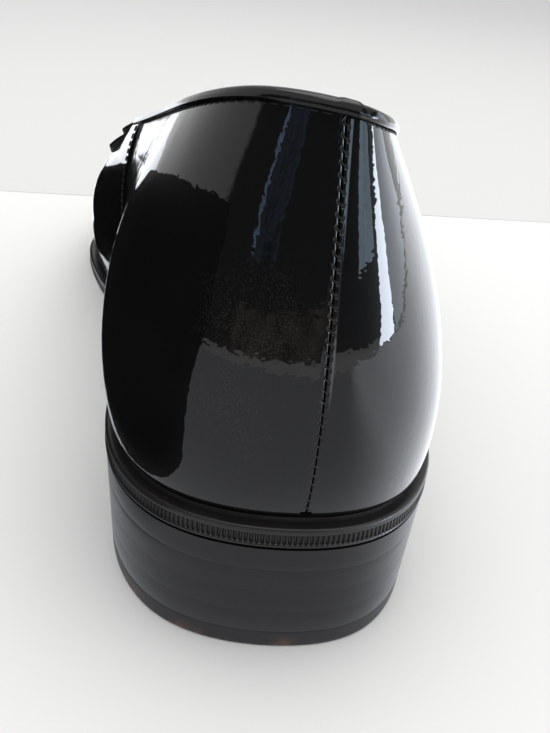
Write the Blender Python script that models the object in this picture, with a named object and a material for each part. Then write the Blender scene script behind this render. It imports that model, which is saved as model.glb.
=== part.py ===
"""A men's opera pump, right shoe: lasted upper, bound topline, stacked heel, close-trimmed sole and a flat bow.

The shoe stands on its heel and forefoot. +Y points to the toe, +X to the outside of the foot and +Z up.
Sizes are in millimetres here and turned into metres when a mesh is made.
"""
import math

import bmesh
import bpy
import numpy as np
from mathutils import Vector
from mathutils.bvhtree import BVHTree

MM = 0.001
GAP = 0.3

SHOE_LENGTH = 288.0
HEEL_HEIGHT = 24.2
HEEL_LENGTH = 70.0
HEEL_TAPER = 1.8
HEEL_UNDERCUT = 0.2
HEEL_MIDDLE = 35.0
HEEL_POINTS = 40
BREAST_POINTS = 7
TOP_PIECE_THICK = 3.8
LIFT_COUNT = 4
BREAST_HOLLOW = 4.0

SOLE_THICK = 4.3
SEAT_STEP = 1.0
SEAT_INSET = 0.15
WAIST_START = 50.0
TREAD_START = 182.0
TREAD_END = 212.0
TOE_SPRING = 9.0

WALL = 2.0
INSOLE_THICK = 3.0
INSOLE_CLEAR = 0.6
BINDING_DEPTH = 2.2
BINDING_THICK = 0.6
BINDING_SHOULDER = 0.2
BINDING_ROUND = 0.62

SEAM_STEP = 0.7
SEAM_OUTSIDE = 4.5
SEAM_INSIDE = 13.7
SEAM_RAMP = 0.19

AROUND = 96
RIB_LEVELS = 13

# Each row is one rib of the last, from its foot on the feather line up to the topline, walking round from the
# back by the outside, the toe and the inside. x and y place the foot. lean and rise are the pull of the wall at
# its foot, outward and up. edge_x, edge_y and edge_z place the topline. pull and drop are the pull of the wall
# below the topline, outward and down.
RIB_COLUMNS = ("x", "y", "lean", "rise", "edge_x", "edge_y", "edge_z", "pull", "drop")
RIBS = {
    "heel_back": (1.9, -0.7, 8.0, 21.0, 2.2, 8.0, 98.3, 7.5, 30.0),
    "heel_corner_outside": (21.5, 7.0, 5.5, 22.0, 9.6, 13.2, 95.8, 9.0, 27.0),
    "heel_side_outside": (32.2, 33.0, 2.8, 22.0, 16.6, 34.0, 90.6, 12.0, 22.5),
    "quarter_outside": (31.8, 66.0, 4.0, 22.0, 22.5, 62.0, 82.3, 10.0, 19.0),
    "waist_outside": (33.5, 100.0, 4.5, 22.0, 27.0, 92.0, 74.2, 8.0, 16.0),
    "instep_outside": (40.0, 140.0, 4.5, 20.0, 31.0, 124.0, 67.5, 9.0, 14.0),
    "joint_outside": (48.5, 186.0, 4.0, 20.0, 28.5, 147.0, 64.3, 16.0, 13.0),
    "vamp_outside": (45.5, 226.0, 4.0, 19.0, 19.0, 158.0, 63.8, 30.0, 15.0),
    "toe_outside": (32.5, 262.0, 4.0, 18.0, 9.0, 162.3, 63.9, 46.0, 22.0),
    "toe_tip": (0.0, 284.5, 4.0, 20.0, 0.0, 163.3, 64.0, 58.0, 28.0),
    "toe_inside": (-31.5, 262.0, 4.0, 18.0, -9.0, 162.3, 63.9, 46.0, 22.0),
    "vamp_inside": (-42.5, 228.0, 3.5, 19.0, -19.0, 158.0, 64.0, 28.0, 15.0),
    "joint_inside": (-44.5, 202.0, 3.0, 20.0, -28.0, 149.0, 64.8, 14.0, 13.0),
    "instep_inside": (-35.0, 156.0, 3.0, 20.0, -30.0, 131.0, 68.8, 8.0, 14.0),
    "waist_inside": (-26.0, 112.0, 5.5, 22.0, -27.0, 104.0, 75.5, 6.0, 16.0),
    "quarter_inside": (-29.5, 70.0, 4.5, 22.0, -22.5, 66.0, 85.2, 8.5, 20.0),
    "heel_side_inside": (-32.6, 33.0, 3.3, 22.0, -19.4, 33.0, 93.2, 9.0, 23.0),
    "heel_corner_inside": (-21.6, 7.0, 6.2, 22.0, -11.0, 14.5, 98.4, 9.0, 27.0),
}

# (y, margin): how far the sole's edge stands out past the feather line, by distance from the back.
EDGE_MARGINS = ((0.0, 1.4), (60.0, 1.0), (110.0, 1.2), (190.0, 2.8), (288.0, 3.0))

# (inset, height): the side of the sole from its lower edge up. The inset is measured in from the sole's edge.
SOLE_SIDE = ((0.5, 0.0), (0.0, 0.5), (0.35, 0.9), (0.35, 2.9), (0.0, 3.2), (0.0, 3.9), (0.4, SOLE_THICK))

BOW_CENTRE = 176.0
BOW_WIDTH = 27.0
BOW_GATHER = 0.22
BOW_OVER_REACH = 37.0
BOW_UNDER_REACH = 44.0
BOW_REAR = 166.0
BOW_LIFT = 2.1
LOOP_PINCH = 0.35
UNDER_FULLNESS = 1.0
OVER_FULLNESS = 2.4
LOOP_COLUMNS = 25
LOOP_ROWS = 4
KNOT_CROWN = 0.8
RIBBON_THICK = 0.6
KNOT_WIDTH = 15.0

PATENT = ("patent_leather", (0.006, 0.006, 0.007), 0.06)
BINDING = ("binding_leather", (0.012, 0.012, 0.013), 0.25)
SOLE_EDGE = ("sole_edge_dressing", (0.016, 0.015, 0.015), 0.42)
LIFT_LEATHER = ("heel_lift_dressing", (0.014, 0.013, 0.013), 0.38)
RUBBER = ("heel_rubber", (0.018, 0.017, 0.017), 0.6)
SOCK = ("insole_sock", (0.02, 0.02, 0.022), 0.7)
GROSGRAIN = ("grosgrain_ribbon", (0.012, 0.012, 0.014), 0.75)


def ease(value, start, end):
    """0 before start, 1 after end and a smooth step between."""
    t = min(max((value - start) / (end - start), 0.0), 1.0)
    return t * t * (3.0 - 2.0 * t)


def closed_spline(rows, count):
    """A smooth closed curve through rows, read at count even steps of the row number."""
    rows = np.asarray(rows, dtype=float)
    total = len(rows)
    system = np.zeros((total, total))
    for i in range(total):
        system[i, i - 1] = 1.0
        system[i, i] = 4.0
        system[i, (i + 1) % total] = 1.0
    slopes = np.linalg.solve(system, 3.0 * (np.roll(rows, -1, axis=0) - np.roll(rows, 1, axis=0)))
    out = []
    for k in range(count):
        place = k * total / count
        i = int(place) % total
        t = place - int(place)
        j = (i + 1) % total
        out.append(
            rows[i] * (2 * t**3 - 3 * t**2 + 1)
            + slopes[i] * (t**3 - 2 * t**2 + t)
            + rows[j] * (-2 * t**3 + 3 * t**2)
            + slopes[j] * (t**3 - t**2)
        )
    return np.array(out)


def sole_bottom(y):
    """Height of the sole's underside over the floor."""
    if y < TREAD_START:
        return HEEL_HEIGHT * (1.0 - ease(y, WAIST_START, TREAD_START))
    return TOE_SPRING * (max(y - TREAD_END, 0.0) / (SHOE_LENGTH - TREAD_END)) ** 2


def seat_top(y):
    """Height of the sole's top, on which insole and upper sit."""
    return sole_bottom(y) + SOLE_THICK + SEAT_STEP


def edge_margin(y):
    ys, margins = zip(*EDGE_MARGINS)
    return float(np.interp(y, ys, margins))


def outward(points):
    """Unit normals in plan of a closed outline that runs back, outside, toe, inside."""
    along = np.roll(points[:, :2], -1, axis=0) - np.roll(points[:, :2], 1, axis=0)
    normals = np.stack([along[:, 1], -along[:, 0]], axis=1)
    return normals / np.linalg.norm(normals, axis=1)[:, None]


def offset_outline(points, normals, distance):
    """The outline moved along its plan normals, by one distance or by a function of y."""
    if callable(distance):
        steps = np.array([distance(y) for y in points[:, 1]])
    else:
        steps = np.full(len(points), float(distance))
    return points[:, :2] + normals * steps[:, None]


def lasted_surface(around, levels):
    """The outside of the upper as rows of ribs, each from the feather line up to the topline."""
    rows = closed_spline(list(RIBS.values()), around)
    column = {name: rows[:, i] for i, name in enumerate(RIB_COLUMNS)}
    feet = np.stack([column["x"], column["y"]], axis=1)
    normals = outward(feet)
    ribs = np.zeros((around, levels, 3))
    for k in range(around):
        n = normals[k]
        foot = np.array([*feet[k], seat_top(feet[k][1]) + GAP])
        edge = np.array([column["edge_x"][k], column["edge_y"][k], column["edge_z"][k]])
        low = foot + np.array([*(n * column["lean"][k]), column["rise"][k]])
        high = edge + np.array([*(n * column["pull"][k]), -column["drop"][k]])
        for i in range(levels):
            t = i / (levels - 1)
            ribs[k, i] = (
                foot * (1 - t) ** 3 + low * 3 * t * (1 - t) ** 2 + high * 3 * t * t * (1 - t) + edge * t**3
            )
    return ribs


def surface_normals(ribs):
    """Unit normals of the rows of ribs, pointing out of the shoe."""
    around = np.roll(ribs, -1, axis=0) - np.roll(ribs, 1, axis=0)
    up = np.gradient(ribs, axis=1)
    normals = np.cross(around, up)
    return normals / np.linalg.norm(normals, axis=2)[:, :, None]


def make_material(finish):
    name, colour, roughness = finish
    material = bpy.data.materials.new(name)
    material.use_nodes = True
    shader = material.node_tree.nodes["Principled BSDF"]
    shader.inputs["Base Color"].default_value = (*colour, 1.0)
    shader.inputs["Roughness"].default_value = roughness
    shader.inputs["Metallic"].default_value = 0.0
    return material


def make_object(name, points, faces, finish, sharp_angle):
    """One closed solid from points in millimetres."""
    mesh = bpy.data.meshes.new(name)
    mesh.from_pydata([tuple(np.asarray(p) * MM) for p in points], [], faces)
    shape = bmesh.new()
    shape.from_mesh(mesh)
    bmesh.ops.recalc_face_normals(shape, faces=shape.faces)
    if shape.calc_volume(signed=True) < 0.0:
        bmesh.ops.reverse_faces(shape, faces=shape.faces)
    shape.to_mesh(mesh)
    shape.free()
    mesh.shade_smooth()
    mesh.set_sharp_from_angle(angle=math.radians(sharp_angle))
    mesh.materials.append(make_material(finish))
    obj = bpy.data.objects.new(name, mesh)
    bpy.context.scene.collection.objects.link(obj)
    return obj


def ring_faces(around, profile):
    """Faces of a ring whose every section has the same closed profile."""
    faces = []
    for k in range(around):
        after = (k + 1) % around
        for i in range(profile):
            j = (i + 1) % profile
            faces.append((k * profile + i, after * profile + i, after * profile + j, k * profile + j))
    return faces


def slab_faces(around, levels):
    """Faces of a solid made of stacked closed outlines, its ends closed by strips from side to side."""
    faces = []
    for i in range(levels - 1):
        for k in range(around):
            after = (k + 1) % around
            faces.append((i * around + k, i * around + after, (i + 1) * around + after, (i + 1) * around + k))
    for base in (0, (levels - 1) * around):
        faces.append((base, base + 1, base + around - 1))
        for k in range(1, around // 2 - 1):
            faces.append((base + k, base + k + 1, base + around - k - 1, base + around - k))
        half = around // 2
        faces.append((base + half - 1, base + half, base + half + 1))
    return faces


def seam_lift(k):
    """Extra thickness of the vamp, which lies over the quarters between the two side seams."""
    place = k * len(RIBS) / AROUND
    outside = ease(place, SEAM_OUTSIDE, SEAM_OUTSIDE + SEAM_RAMP)
    inside = ease(place, SEAM_INSIDE - SEAM_RAMP, SEAM_INSIDE)
    return SEAM_STEP * outside * (1.0 - inside)


def make_upper(ribs, normals):
    """The hollow upper: outside, topline, lining and the open bottom, as one ring."""
    points = []
    lining_rows = [RIB_LEVELS - 1, *range(RIB_LEVELS - 2, 2, -2), 2, 1, 0]
    for k in range(AROUND):
        for i in range(RIB_LEVELS):
            fade = ease(i, RIB_LEVELS - 1, RIB_LEVELS - 3)
            points.append(ribs[k, i] + normals[k, i] * seam_lift(k) * fade)
        for i in lining_rows:
            inside = ribs[k, i] - normals[k, i] * WALL
            if i == 0:
                inside[2] = ribs[k, 0][2]
            points.append(inside)
    faces = ring_faces(AROUND, RIB_LEVELS + len(lining_rows))
    return make_object("upper", points, faces, PATENT, 50.0)


def make_binding(ribs, normals):
    """The rolled binding, a narrow hood over the edge of the upper."""
    outer = GAP + BINDING_THICK
    inner = WALL + GAP + BINDING_THICK
    middle = (outer - inner) / 2.0
    reach = (outer + inner) / 2.0
    section = [(outer, -BINDING_DEPTH), (outer, BINDING_SHOULDER)]
    for step in range(1, 4):
        angle = math.pi * step / 4.0
        crown = BINDING_SHOULDER + GAP + reach * BINDING_ROUND * math.sin(angle)
        section.append((middle + reach * math.cos(angle), crown))
    section += [(-inner, BINDING_SHOULDER), (-inner, -BINDING_DEPTH)]
    section += [(-WALL - GAP, -BINDING_DEPTH), (-WALL - GAP, GAP)]
    section += [(GAP, GAP), (GAP, -BINDING_DEPTH)]
    points = []
    for k in range(AROUND):
        edge = ribs[k, -1]
        up = edge - ribs[k, -2]
        up = up / np.linalg.norm(up)
        for out, height in section:
            points.append(edge + normals[k, -1] * out + up * height)
    return make_object("topline_binding", points, ring_faces(AROUND, len(section)), BINDING, 40.0)


def make_outsole(feet, plan):
    """The leather sole with its stepped side and the raised seat that the upper stands on."""
    points = []
    for inset, height in SOLE_SIDE:
        outline = offset_outline(feet, plan, lambda y: edge_margin(y) - inset)
        points += [(x, y, sole_bottom(y) + height) for x, y in outline]
    for inset, height in ((SEAT_INSET, SOLE_THICK + 0.4 * SEAT_STEP), (0.0, SOLE_THICK + SEAT_STEP)):
        outline = offset_outline(feet, plan, inset)
        points += [(x, y, sole_bottom(y) + height) for x, y in outline]
    return make_object("outsole", points, slab_faces(AROUND, len(SOLE_SIDE) + 2), SOLE_EDGE, 35.0)


def make_insole(ribs, normals):
    """The lasted board and its sock, inside the upper's foot."""
    points = []
    for level, clear in enumerate((INSOLE_CLEAR, INSOLE_CLEAR + GAP)):
        for k in range(AROUND):
            foot = ribs[k, 0] - np.array([*(normals[k, 0][:2]), 0.0]) * (WALL + GAP + clear)
            points.append((foot[0], foot[1], seat_top(foot[1]) + GAP + level * INSOLE_THICK))
    return make_object("insole", points, slab_faces(AROUND, 2), SOCK, 35.0)


def heel_outline(inset):
    """The heel's outline in plan: the seat's own curve, closed by a slightly hollow breast."""
    rows = closed_spline(list(RIBS.values()), 360)
    normals = outward(rows)
    edge = offset_outline(rows, normals, lambda y: edge_margin(y) - inset)
    side = [p for p in edge if p[1] <= HEEL_LENGTH]
    outside = sorted((p for p in side if p[0] >= 0.0), key=lambda p: math.atan2(p[0], HEEL_MIDDLE - p[1]))
    inside = sorted((p for p in side if p[0] < 0.0), key=lambda p: math.atan2(-p[0], HEEL_MIDDLE - p[1]))
    half = HEEL_POINTS // 2
    back = []
    for line in (inside[::-1], outside):
        back += [line[round(i * (len(line) - 1) / (half - 1))] for i in range(half)]
    start, end = back[-1], back[0]
    breast = []
    for i in range(1, BREAST_POINTS + 1):
        t = i / (BREAST_POINTS + 1)
        hollow = BREAST_HOLLOW * 4.0 * t * (1.0 - t)
        breast.append((start[0] + (end[0] - start[0]) * t, start[1] + (end[1] - start[1]) * t - hollow))
    return [tuple(p) for p in back] + breast


def make_heel():
    """Stacked lifts on a rubber top piece, each a little smaller than the one above."""
    stack = HEEL_HEIGHT - TOP_PIECE_THICK
    lift = stack / LIFT_COUNT
    layers = [("top_piece", 0.0, TOP_PIECE_THICK, RUBBER)]
    for i in range(LIFT_COUNT):
        low = TOP_PIECE_THICK + i * lift
        layers.append((f"heel_lift_{i + 1}", low + GAP, low + lift, LIFT_LEATHER))
    for name, low, high, finish in layers:
        foot, head = [heel_outline(HEEL_TAPER * (1.0 - z / HEEL_HEIGHT) + HEEL_UNDERCUT) for z in (low, high)]
        count = len(foot)
        points = [(x, y, low) for x, y in foot]
        points += [(x, y, min(high, sole_bottom(y) - GAP)) for x, y in head]
        faces = [tuple(range(count)), tuple(range(count, 2 * count))]
        faces += [(k, (k + 1) % count, count + (k + 1) % count, count + k) for k in range(count)]
        make_object(name, points, faces, finish, 35.0)


def vamp_height(tree, x, y):
    """Height of the vamp's outside over a plan point, or None beside it."""
    hit = tree.ray_cast(Vector((x, y, 200.0)), Vector((0.0, 0.0, -1.0)))
    return None if hit[0] is None else hit[0].z


def vamp_line(tree, y, reach, side):
    """Points over the vamp from its crown out to one side, 1 mm apart along the surface."""
    line = [np.array([0.0, y, vamp_height(tree, 0.0, y)])]
    while len(line) <= reach + 2:
        here = line[-1]
        for trial in range(26):
            angle = -1.55 + trial * 0.06
            x = here[0] + side * math.cos(angle)
            z = here[2] + math.sin(angle)
            surface = vamp_height(tree, x, y)
            if surface is not None and z >= surface:
                break
        line.append(np.array([x, y, z]))
    return np.array(line)


def ribbon_width(s):
    """Share of the ribbon's full width, s millimetres from the middle of the bow, where the knot gathers it."""
    return 1.0 - BOW_GATHER * (1.0 - ease(abs(s), KNOT_WIDTH / 2.0 - 2.0, KNOT_WIDTH / 2.0 + 12.0))


def bow_grid(tree, reach, width, columns, rows):
    """Points and normals over the vamp under a ribbon of the bow, from the inside of the foot to the outside."""
    steps = np.linspace(BOW_REAR, BOW_CENTRE + width / 2.0 + 1.0, 9)
    rear, ahead = [vamp_height(tree, 0.0, y) for y in steps[:2]]
    climb = (rear - ahead) / (steps[1] - steps[0])
    lines = {side: np.array([vamp_line(tree, y, reach, side) for y in steps]) for side in (-1, 1)}
    grid = np.zeros((columns, rows, 3))
    for i in range(columns):
        s = reach * (2.0 * i / (columns - 1) - 1.0)
        side = 1 if s >= 0 else -1
        n = int(abs(s))
        line = lines[side][:, n] * (1 + n - abs(s)) + lines[side][:, n + 1] * (abs(s) - n)
        for j in range(rows):
            y = BOW_CENTRE + width * ribbon_width(s) * (j / (rows - 1) - 0.5)
            grid[i, j, 0] = np.interp(y, steps, line[:, 0])
            grid[i, j, 1] = y
            grid[i, j, 2] = np.interp(y, steps, line[:, 2]) + climb * max(BOW_REAR - y, 0.0)
    normals = np.cross(np.gradient(grid, axis=0), np.gradient(grid, axis=1))
    return grid, normals / np.linalg.norm(normals, axis=2)[:, :, None]


def loop_opening(s, reach, fullness):
    """Height of the hollow in a loop, s millimetres from the knot: pinched at the knot and at the fold."""
    pinched = KNOT_WIDTH / 2.0 + 1.0
    past_knot = max(abs(s) - pinched, 0.0) / (reach - pinched)
    return LOOP_PINCH + fullness * max(math.sin(math.pi * past_knot), 0.0) ** 0.7


def make_loops(name, tree, reach, lift, fullness):
    """One ribbon of the bow: a flat endless band, open from front to back, pinched under the knot."""
    grid, normals = bow_grid(tree, reach, BOW_WIDTH, LOOP_COLUMNS, LOOP_ROWS)
    last = LOOP_COLUMNS - 1
    hollow = [loop_opening(reach * (2.0 * i / last - 1.0), reach, fullness) for i in range(LOOP_COLUMNS)]
    base = [(i, lift) for i in range(LOOP_COLUMNS)]
    roof = [(i, lift + 2 * RIBBON_THICK + hollow[i]) for i in range(last, -1, -1)]
    floor = [(i, lift + RIBBON_THICK) for i in range(1, last)]
    ceiling = [(i, lift + RIBBON_THICK + hollow[i]) for i in range(last - 1, 0, -1)]
    outer, inner = base + roof, floor + ceiling
    points = [grid[i, j] + normals[i, j] * h for j in range(LOOP_ROWS) for i, h in outer + inner]
    stride = len(outer) + len(inner)
    faces = []
    for j in range(LOOP_ROWS - 1):
        for start, count in ((0, len(outer)), (len(outer), len(inner))):
            for k in range(count):
                a = j * stride + start + k
                b = j * stride + start + (k + 1) % count
                faces.append((a, b, b + stride, a + stride))
    for base_point in (0, (LOOP_ROWS - 1) * stride):
        inside = base_point + len(outer)
        half = len(floor)
        for k in range(half - 1):
            faces.append((base_point + k + 1, base_point + k + 2, inside + k + 1, inside + k))
            top = base_point + LOOP_COLUMNS + k + 1
            faces.append((top, top + 1, inside + half + k + 1, inside + half + k))
        ends = (base_point + len(outer) - 2, base_point + len(outer) - 1, base_point, base_point + 1)
        faces.append((*ends, inside, inside + len(inner) - 1))
        fold = base_point + last
        faces.append((fold - 1, fold, fold + 1, fold + 2, inside + half, inside + half - 1))
    return make_object(name, points, faces, GROSGRAIN, 50.0)


def make_knot(tree, low, high):
    """The band round the middle of the bow."""
    across, rows = 5, 7
    points = []
    for width, skin in ((BOW_WIDTH + 2 * (GAP + RIBBON_THICK), RIBBON_THICK), (BOW_WIDTH + 2 * GAP, 0.0)):
        grid, normals = bow_grid(tree, KNOT_WIDTH / 2.0, width, across, rows)
        crown = [KNOT_CROWN * math.sin(math.pi * j / (rows - 1)) for j in range(rows)]
        for i in range(across):
            points += [grid[i, j] + normals[i, j] * (low - skin) for j in range(rows)]
            points += [grid[i, j] + normals[i, j] * (high + skin + crown[j]) for j in range(rows - 1, -1, -1)]
    count = 2 * rows
    layer = across * count
    faces = []
    for start in (0, layer):
        for i in range(across - 1):
            for k in range(count):
                a = start + i * count + k
                b = start + i * count + (k + 1) % count
                faces.append((a, b, b + count, a + count))
    for i in (0, across - 1):
        for k in range(count):
            a = i * count + k
            b = i * count + (k + 1) % count
            faces.append((a, b, b + layer, a + layer))
    return make_object("bow_knot", points, faces, GROSGRAIN, 40.0)


def make_bow(upper):
    """Two flat ribbons laid over the vamp's throat, and the band that holds them."""
    outside = [tuple(v.co / MM) for v in upper.data.vertices]
    tree = BVHTree.FromPolygons(outside, [tuple(p.vertices) for p in upper.data.polygons])
    over_lift = BOW_LIFT + 2 * RIBBON_THICK + UNDER_FULLNESS + LOOP_PINCH + GAP
    make_loops("bow_under_loops", tree, BOW_UNDER_REACH, BOW_LIFT, UNDER_FULLNESS)
    make_loops("bow_over_loops", tree, BOW_OVER_REACH, over_lift, OVER_FULLNESS)
    make_knot(tree, BOW_LIFT - GAP, over_lift + 2 * RIBBON_THICK + LOOP_PINCH + GAP)


def centre_on_floor():
    """Moves the whole shoe so that the middle of its box stands over the origin."""
    shoe = bpy.data.objects.new("shoe", None)
    bpy.context.scene.collection.objects.link(shoe)
    corners = []
    for obj in list(bpy.context.scene.objects):
        if obj.type == "MESH":
            obj.parent = shoe
            corners += [v.co for v in obj.data.vertices]
    for axis in (0, 1):
        values = [c[axis] for c in corners]
        shoe.location[axis] = -(min(values) + max(values)) / 2.0


def build():
    for obj in list(bpy.data.objects):
        bpy.data.objects.remove(obj)
    ribs = lasted_surface(AROUND, RIB_LEVELS)
    normals = surface_normals(ribs)
    feet = ribs[:, 0]
    plan = outward(feet)
    upper = make_upper(ribs, normals)
    make_binding(ribs, normals)
    make_outsole(feet, plan)
    make_insole(ribs, normals)
    make_heel()
    make_bow(upper)
    centre_on_floor()


build()
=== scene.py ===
import math

import bmesh
import bpy
import numpy as np
from mathutils import Matrix, Vector, noise
from mathutils.bvhtree import BVHTree


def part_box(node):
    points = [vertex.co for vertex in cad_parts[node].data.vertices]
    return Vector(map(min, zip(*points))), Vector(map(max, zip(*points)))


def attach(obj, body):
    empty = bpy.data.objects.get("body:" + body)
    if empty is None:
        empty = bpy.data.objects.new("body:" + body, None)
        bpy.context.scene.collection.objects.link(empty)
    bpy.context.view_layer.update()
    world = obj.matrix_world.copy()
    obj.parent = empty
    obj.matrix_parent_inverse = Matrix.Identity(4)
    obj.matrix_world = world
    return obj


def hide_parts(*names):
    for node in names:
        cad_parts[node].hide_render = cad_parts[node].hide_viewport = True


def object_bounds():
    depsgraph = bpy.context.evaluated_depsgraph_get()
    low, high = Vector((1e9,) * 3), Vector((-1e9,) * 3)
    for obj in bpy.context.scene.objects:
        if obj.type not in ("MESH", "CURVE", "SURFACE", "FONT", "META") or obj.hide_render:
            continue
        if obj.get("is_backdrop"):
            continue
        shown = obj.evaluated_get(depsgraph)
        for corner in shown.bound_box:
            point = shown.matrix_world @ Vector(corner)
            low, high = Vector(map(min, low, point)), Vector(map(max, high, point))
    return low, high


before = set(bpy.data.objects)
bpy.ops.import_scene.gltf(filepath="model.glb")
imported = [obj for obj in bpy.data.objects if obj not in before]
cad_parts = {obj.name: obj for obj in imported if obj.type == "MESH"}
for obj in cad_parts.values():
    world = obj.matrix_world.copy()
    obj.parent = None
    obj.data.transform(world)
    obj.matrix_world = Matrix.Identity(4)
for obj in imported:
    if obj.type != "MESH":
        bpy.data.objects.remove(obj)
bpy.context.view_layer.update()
mm = 0.001
scene = bpy.context.scene
scene.view_settings.view_transform = "Standard"

# ---- colours and nodes


# an sRGB hex colour as the linear one that a shader takes
def linear(hexColour):
    out = []
    for i in (1, 3, 5):
        c = int(hexColour[i:i + 2], 16) / 255
        out.append(c / 12.92 if c <= 0.04045 else ((c + 0.055) / 1.055) ** 2.4)
    return (*out, 1.0)


def plug(tree, node, links):
    for name, socket in links.items():
        tree.links.new(socket, node.inputs[name])


# adds a shader node, sets what is a setting or an unlinked input, and links the rest
def addNode(tree, kind, settings=None, links=None):
    node = tree.nodes.new("ShaderNode" + kind)
    for name, value in (settings or {}).items():
        if isinstance(name, str) and hasattr(node, name):
            setattr(node, name, value)
        else:
            node.inputs[name].default_value = value
    plug(tree, node, links or {})
    return node


# a material with constants set on its shader's own sockets
def newMaterial(name, sockets):
    material = bpy.data.materials.new(name)
    material.use_nodes = True
    tree = material.node_tree
    shader = tree.nodes["Principled BSDF"]
    for socket, value in sockets.items():
        shader.inputs[socket].default_value = value
    return material, tree, shader


# ---- the last: the same ribs as the solids, in millimetres, heel back at y 0, toe at y 288

last = {
    # x, y of the foot; lean, rise at the foot; x, y, z of the topline; pull, drop below it
    "heelBack": (1.9, -0.7, 8.0, 21.0, 2.2, 8.0, 98.3, 7.5, 30.0),
    "heelCornerOutside": (21.5, 7.0, 5.5, 22.0, 9.6, 13.2, 95.8, 9.0, 27.0),
    "heelSideOutside": (32.2, 33.0, 2.8, 22.0, 16.6, 34.0, 90.6, 12.0, 22.5),
    "quarterOutside": (31.8, 66.0, 4.0, 22.0, 22.5, 62.0, 82.3, 10.0, 19.0),
    "waistOutside": (33.5, 100.0, 4.5, 22.0, 27.0, 92.0, 74.2, 8.0, 16.0),
    "instepOutside": (40.0, 140.0, 4.5, 20.0, 31.0, 124.0, 67.5, 9.0, 14.0),
    "jointOutside": (48.5, 186.0, 4.0, 20.0, 28.5, 147.0, 64.3, 16.0, 13.0),
    "vampOutside": (45.5, 226.0, 4.0, 19.0, 19.0, 158.0, 63.8, 30.0, 15.0),
    "toeOutside": (32.5, 262.0, 4.0, 18.0, 9.0, 162.3, 63.9, 46.0, 22.0),
    "toeTip": (0.0, 284.5, 4.0, 20.0, 0.0, 163.3, 64.0, 58.0, 28.0),
    "toeInside": (-31.5, 262.0, 4.0, 18.0, -9.0, 162.3, 63.9, 46.0, 22.0),
    "vampInside": (-42.5, 228.0, 3.5, 19.0, -19.0, 158.0, 64.0, 28.0, 15.0),
    "jointInside": (-44.5, 202.0, 3.0, 20.0, -28.0, 149.0, 64.8, 14.0, 13.0),
    "instepInside": (-35.0, 156.0, 3.0, 20.0, -30.0, 131.0, 68.8, 8.0, 14.0),
    "waistInside": (-26.0, 112.0, 6.3, 22.0, -27.0, 104.0, 75.5, 7.5, 16.0),
    "quarterInside": (-29.5, 70.0, 6.8, 22.0, -22.5, 66.0, 85.2, 11.0, 20.0),
    "heelSideInside": (-32.6, 33.0, 5.6, 22.0, -19.4, 33.0, 93.2, 12.0, 23.0),
    "heelCornerInside": (-21.6, 7.0, 6.2, 22.0, -11.0, 14.5, 98.4, 9.0, 27.0),
}
shoe = {
    "length": 288.0,
    "gap": 0.3,  # between one piece and the next
    "wall": 2.0,
    "heelHeight": 24.2,
    "heelLength": 70.0,
    "heelMiddle": 35.0,
    "soleThick": 4.3,
    "seatStep": 1.0,
    "waistStart": 50.0,
    "treadStart": 182.0,
    "treadEnd": 212.0,
    "toeSpring": 9.0,
    "spineStart": 26.0,
    "edgeMargins": ((0.0, 1.4), (60.0, 1.0), (110.0, 1.2), (190.0, 2.8), (288.0, 3.0)),  # y, sole past the foot
    "outlineSteps": 2880,
}
ribCount = len(last)


def ease(value, start, end):
    t = np.clip((value - start) / (end - start), 0.0, 1.0)
    return t * t * (3.0 - 2.0 * t)


# the length along a line of points, from 0 at its first
def runAlong(points):
    return np.concatenate([[0], np.cumsum(np.linalg.norm(np.diff(points, axis=0), axis=1))])


def splineSlopes(rows):
    n = len(rows)
    system = np.zeros((n, n))
    for i in range(n):
        system[i, i - 1], system[i, i], system[i, (i + 1) % n] = 1.0, 4.0, 1.0
    return np.linalg.solve(system, 3.0 * (np.roll(rows, -1, axis=0) - np.roll(rows, 1, axis=0)))


ribRows = np.array(list(last.values()))
ribSlopes = splineSlopes(ribRows)


# the rib's nine sizes at any place round the last, 0 at the back seam and counted in ribs
def ribAt(places):
    places = np.asarray(places, float) % ribCount
    i = places.astype(int) % ribCount
    t = (places - places.astype(int))[:, None]
    j = (i + 1) % ribCount
    return (ribRows[i] * (2 * t**3 - 3 * t**2 + 1) + ribSlopes[i] * (t**3 - 2 * t**2 + t)
            + ribRows[j] * (-2 * t**3 + 3 * t**2) + ribSlopes[j] * (t**3 - t**2))


def footNormals(places):
    along = ribAt(np.asarray(places) + 0.04)[:, :2] - ribAt(np.asarray(places) - 0.04)[:, :2]
    normals = np.stack([along[:, 1], -along[:, 0]], axis=1)
    return normals / np.linalg.norm(normals, axis=1)[:, None]


def soleBottom(y):
    y = np.asarray(y, float)
    rear = shoe["heelHeight"] * (1.0 - ease(y, shoe["waistStart"], shoe["treadStart"]))
    past = np.maximum(y - shoe["treadEnd"], 0.0) / (shoe["length"] - shoe["treadEnd"])
    return np.where(y < shoe["treadStart"], rear, shoe["toeSpring"] * past**2)


def seatTop(y):
    return soleBottom(y) + shoe["soleThick"] + shoe["seatStep"]


def edgeMargin(y):
    return np.interp(y, *zip(*shoe["edgeMargins"]))


# points of the lasted wall, at each place round it (rows) and each level up it (columns, 0 to 1)
def wallPoints(places, levels):
    rib = ribAt(places)
    n = footNormals(places)
    foot = np.stack([rib[:, 0], rib[:, 1], seatTop(rib[:, 1]) + shoe["gap"]], axis=1)
    edge = rib[:, 4:7]
    low = foot + np.stack([n[:, 0] * rib[:, 2], n[:, 1] * rib[:, 2], rib[:, 3]], axis=1)
    high = edge + np.stack([n[:, 0] * rib[:, 7], n[:, 1] * rib[:, 7], -rib[:, 8]], axis=1)
    t = np.asarray(levels, float)[None, :, None]
    foot, low, high, edge = [p[:, None, :] for p in (foot, low, high, edge)]
    return foot * (1 - t) ** 3 + low * 3 * t * (1 - t) ** 2 + high * 3 * t * t * (1 - t) + edge * t**3


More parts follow.
